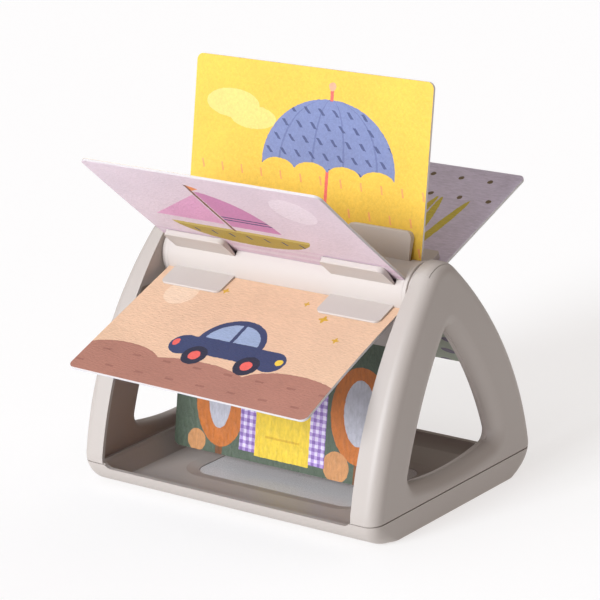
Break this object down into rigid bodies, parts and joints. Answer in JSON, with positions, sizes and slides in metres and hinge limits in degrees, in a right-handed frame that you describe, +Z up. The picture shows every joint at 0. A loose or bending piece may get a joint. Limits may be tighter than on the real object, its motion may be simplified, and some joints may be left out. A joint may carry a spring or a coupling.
{
  "type": "rotating tummy time picture book",
  "caption": "Tabletop picture book for tummy time: stiff picture cards on a roller that turns between two rounded triangular sides on a shallow base tray.",
  "frame": {"origin": "on the ground, midway between the two sides and straight below the roller's axis", "axes": "X along the roller's axis from the left side to the right, +Y from front to back, +Z up"},
  "size_m": [0.254, 0.2622, 0.2868],
  "materials": {
    "shell_plastic": "satin",
    "roller_plastic": "satin",
    "inner_plastic": "matte",
    "panel_grey": "satin",
    "strip_rubber": "matte",
    "screw_steel": "satin",
    "axle_steel": "satin",
    "bush_plastic": "gloss",
    "card_yellow": "matte",
    "card_lilac": "matte",
    "card_peach": "matte",
    "card_green": "matte",
    "card_slate": "matte",
    "card_mint": "matte"
  },
  "bodies": {
    "stand": {"base_tray": "shell_plastic", "floor_panel": "panel_grey", "foot_strip_left": "strip_rubber", "foot_strip_right": "strip_rubber", "stand_screws_left": "screw_steel", "stand_screws_right": "screw_steel", "side_shell_left": "shell_plastic", "side_shell_right": "shell_plastic", "side_panel_left": "shell_plastic", "side_panel_right": "shell_plastic", "axle_block_left": "shell_plastic", "axle_block_right": "shell_plastic", "axle_block_screws_left": "screw_steel", "axle_block_screws_right": "screw_steel", "axle_bush_left": "bush_plastic", "axle_bush_right": "bush_plastic"},
    "roller": {"axle_rod": "axle_steel", "roller_core": "inner_plastic", "end_disc_left": "roller_plastic", "end_disc_right": "roller_plastic", "end_disc_screws_left": "screw_steel", "end_disc_screws_right": "screw_steel", "clip_rail_front": "roller_plastic", "clip_rail_front_top": "roller_plastic", "clip_rail_rear_top": "roller_plastic", "clip_rail_rear": "roller_plastic", "clip_rail_rear_bottom": "roller_plastic", "clip_rail_front_bottom": "roller_plastic", "card_front_lower": "card_peach", "card_front_upper": "card_lilac", "card_top": "card_yellow", "card_rear_upper": "card_slate", "card_rear_lower": "card_mint", "card_bottom": "card_green"}
  },
  "joints": [
    {"name": "roller_spin", "type": "hinge", "parent": "stand", "child": "roller", "pos_m": [0, 0, 0.1492], "axis": [1, 0, 0], "continuous": true}
  ]
}
